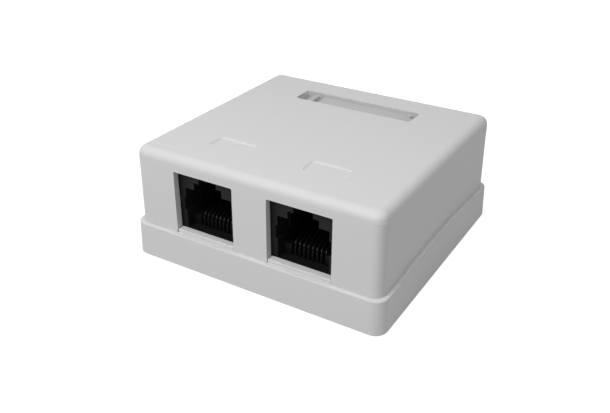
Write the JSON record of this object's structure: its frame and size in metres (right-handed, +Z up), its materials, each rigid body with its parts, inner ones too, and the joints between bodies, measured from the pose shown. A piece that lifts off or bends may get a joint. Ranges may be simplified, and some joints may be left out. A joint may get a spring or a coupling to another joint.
{
  "type": "surface mount jack box",
  "caption": "Surface mount box for structured cabling: a moulded cover that snaps over a flat base tray, with modular jacks in front, a clear label window and a wiring space behind.",
  "frame": {"origin": "middle of the underside, on the wall or desk that the box is fixed to", "axes": "+X to the right along the front, -Y the front with the jack openings, +Z up out of the mounting surface"},
  "size_m": [0.0612, 0.059, 0.0258],
  "materials": {
    "cover_plastic": "light satin moulding",
    "base_plastic": "light satin moulding",
    "clear_window": "clear, polished",
    "strip_paper": "plain card",
    "board_laminate": "solder mask over glass laminate",
    "screw_steel": "zinc plated",
    "jack_plastic": "black moulding",
    "carrier_plastic": "black moulding",
    "terminal_plastic": "off-white moulding",
    "contact_wire": "plated spring bronze",
    "clip_metal": "tin plated"
  },
  "bodies": {
    "base": {"base": "base_plastic", "circuit_board": "board_laminate", "front_board_screw": "screw_steel", "rear_board_screw": "screw_steel", "left_jack_housing": "jack_plastic", "left_contact_carrier": "carrier_plastic", "left_idc_block": "terminal_plastic", "left_contact_1": "contact_wire", "left_idc_clip_1": "clip_metal", "left_contact_2": "contact_wire", "left_idc_clip_2": "clip_metal", "left_contact_3": "contact_wire", "left_idc_clip_3": "clip_metal", "left_contact_4": "contact_wire", "left_idc_clip_4": "clip_metal", "left_contact_5": "contact_wire", "left_idc_clip_5": "clip_metal", "left_contact_6": "contact_wire", "left_idc_clip_6": "clip_metal", "left_contact_7": "contact_wire", "left_idc_clip_7": "clip_metal", "left_contact_8": "contact_wire", "left_idc_clip_8": "clip_metal", "right_jack_housing": "jack_plastic", "right_contact_carrier": "carrier_plastic", "right_idc_block": "terminal_plastic", "right_contact_1": "contact_wire", "right_idc_clip_1": "clip_metal", "right_contact_2": "contact_wire", "right_idc_clip_2": "clip_metal", "right_contact_3": "contact_wire", "right_idc_clip_3": "clip_metal", "right_contact_4": "contact_wire", "right_idc_clip_4": "clip_metal", "right_contact_5": "contact_wire", "right_idc_clip_5": "clip_metal", "right_contact_6": "contact_wire", "right_idc_clip_6": "clip_metal", "right_contact_7": "contact_wire", "right_idc_clip_7": "clip_metal", "right_contact_8": "contact_wire", "right_idc_clip_8": "clip_metal"},
    "cover": {"cover": "cover_plastic", "label_strip": "strip_paper"},
    "window": {"label_window": "clear_window"}
  },
  "joints": [
    {"name": "cover_lift", "type": "slide", "parent": "base", "child": "cover", "axis": [0, 0, 1], "range_m": [0, 0.03]},
    {"name": "label_window_lift", "type": "slide", "parent": "cover", "child": "window", "axis": [0, 0, 1], "range_m": [0, 0.008]}
  ]
}
